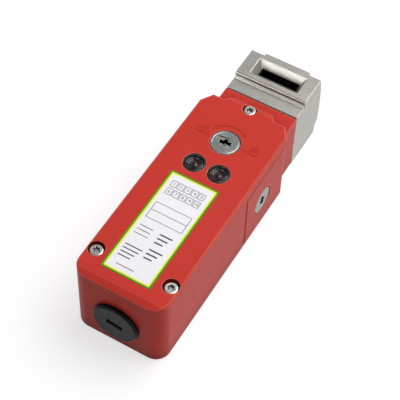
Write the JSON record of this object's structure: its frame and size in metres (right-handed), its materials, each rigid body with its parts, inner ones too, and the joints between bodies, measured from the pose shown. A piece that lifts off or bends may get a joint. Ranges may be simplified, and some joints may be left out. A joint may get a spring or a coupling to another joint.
{
  "type": "tongue interlock switch",
  "caption": "Guard-locking tongue interlock switch: slim moulded case with indicator windows and key releases, and a stainless head with a top and an end slot for the tongue.",
  "frame": {"origin": "centre of the four mounting holes, on the flat mounting back", "axes": "+Z out of the mounting back through the lid, +Y along the case towards the head, +X towards the side release"},
  "size_m": [0.0511, 0.1777, 0.047],
  "materials": {
    "red_plastic": "moulded glass-filled polyester, low gloss",
    "black_rubber": "moulded",
    "stainless": "turned, fine rings",
    "cast_stainless": "investment cast and satin blasted",
    "zinc_steel": "zinc plated",
    "spring_steel": "drawn wire",
    "brass": "machined",
    "black_plastic": "moulded",
    "gloss_black": "polished",
    "smoked_lens": "smoked, polished",
    "lamp_green": "diffused",
    "lamp_red": "diffused",
    "board_green": "solder mask",
    "ivory_plastic": "moulded",
    "winding_tape": "wrapped tape"
  },
  "bodies": {
    "case": {"housing": "red_plastic", "lid": "red_plastic", "lid_gasket": "black_rubber", "lid_screws": "stainless", "lid_inserts": "brass", "conduit_plug": "black_plastic", "conduit_plug_seal": "black_rubber", "led_bezel_left": "gloss_black", "led_bezel_right": "gloss_black", "led_lens_left": "smoked_lens", "led_lens_right": "smoked_lens", "led_lamp_left": "lamp_green", "led_lamp_right": "lamp_red", "circuit_board": "board_green", "board_screws": "stainless", "terminal_block": "black_plastic", "terminal_clamps": "brass", "terminal_screws": "stainless", "solenoid_frame": "zinc_steel", "solenoid_screws": "stainless", "solenoid_bobbin": "ivory_plastic", "solenoid_winding": "winding_tape", "pole_piece": "zinc_steel", "lock_spring": "spring_steel", "rod_guide": "brass", "rod_seal": "black_rubber", "plunger_seal": "black_rubber", "tongue_contact_block": "black_plastic", "tongue_fixed_contacts": "brass", "tongue_contact_spring": "spring_steel", "lock_contact_block": "black_plastic", "lock_fixed_contacts": "brass", "lock_contact_spring": "spring_steel", "head_gasket": "black_rubber", "head_body": "cast_stainless", "head_retainer": "stainless", "retainer_screws": "stainless", "head_screws": "stainless", "head_inserts": "brass", "top_release_seal": "black_rubber", "side_release_seal": "black_rubber"},
    "cam": {"cam_wheel": "cast_stainless", "cam_pin": "stainless"},
    "sensing_plunger": {"sensing_plunger": "stainless"},
    "tongue_contacts": {"tongue_contact_carrier": "ivory_plastic", "tongue_contact_bridges": "brass"},
    "lock_rod": {"armature": "zinc_steel", "lock_rod": "stainless", "release_yoke": "ivory_plastic", "yoke_clip": "stainless", "top_release_spring": "spring_steel", "side_release_spring": "spring_steel"},
    "lock_contacts": {"lock_contact_carrier": "ivory_plastic", "lock_contact_bridges": "brass"},
    "top_release": {"top_release_disc": "stainless", "top_release_clip": "spring_steel"},
    "side_release": {"side_release_disc": "stainless", "side_release_clip": "spring_steel"}
  },
  "joints": [
    {"name": "cam_turn", "type": "hinge", "parent": "case", "child": "cam", "pos_m": [0, 0.098, 0.021], "axis": [1, 0, 0], "range_deg": [-60, 0]},
    {"name": "sensing_plunger_slide", "type": "slide", "parent": "case", "child": "sensing_plunger", "axis": [0, 1, 0], "range_m": [0, 0.005]},
    {"name": "tongue_contacts_slide", "type": "slide", "parent": "case", "child": "tongue_contacts", "axis": [0, 1, 0], "range_m": [0, 0.005], "deforming": ["tongue_contact_spring"]},
    {"name": "lock_rod_slide", "type": "slide", "parent": "case", "child": "lock_rod", "axis": [0, 1, 0], "range_m": [0, 0.0045], "deforming": ["lock_spring", "top_release_spring", "side_release_spring"]},
    {"name": "lock_contacts_slide", "type": "slide", "parent": "case", "child": "lock_contacts", "axis": [0, 1, 0], "range_m": [0, 0.0045], "deforming": ["lock_contact_spring"]},
    {"name": "top_release_turn", "type": "hinge", "parent": "case", "child": "top_release", "pos_m": [0, 0.047, 0.047], "axis": [0, 0, 1], "range_deg": [-90, 0]},
    {"name": "side_release_turn", "type": "hinge", "parent": "case", "child": "side_release", "pos_m": [0.0257, 0.0426, 0.021], "axis": [1, 0, 0], "range_deg": [-90, 0]}
  ],
  "couplings": [
    {"joint": "sensing_plunger_slide", "follows": "cam_turn", "m_per_rad": -0.0047746},
    {"joint": "tongue_contacts_slide", "follows": "cam_turn", "m_per_rad": -0.0047746},
    {"joint": "lock_contacts_slide", "follows": "lock_rod_slide", "ratio": 1}
  ]
}
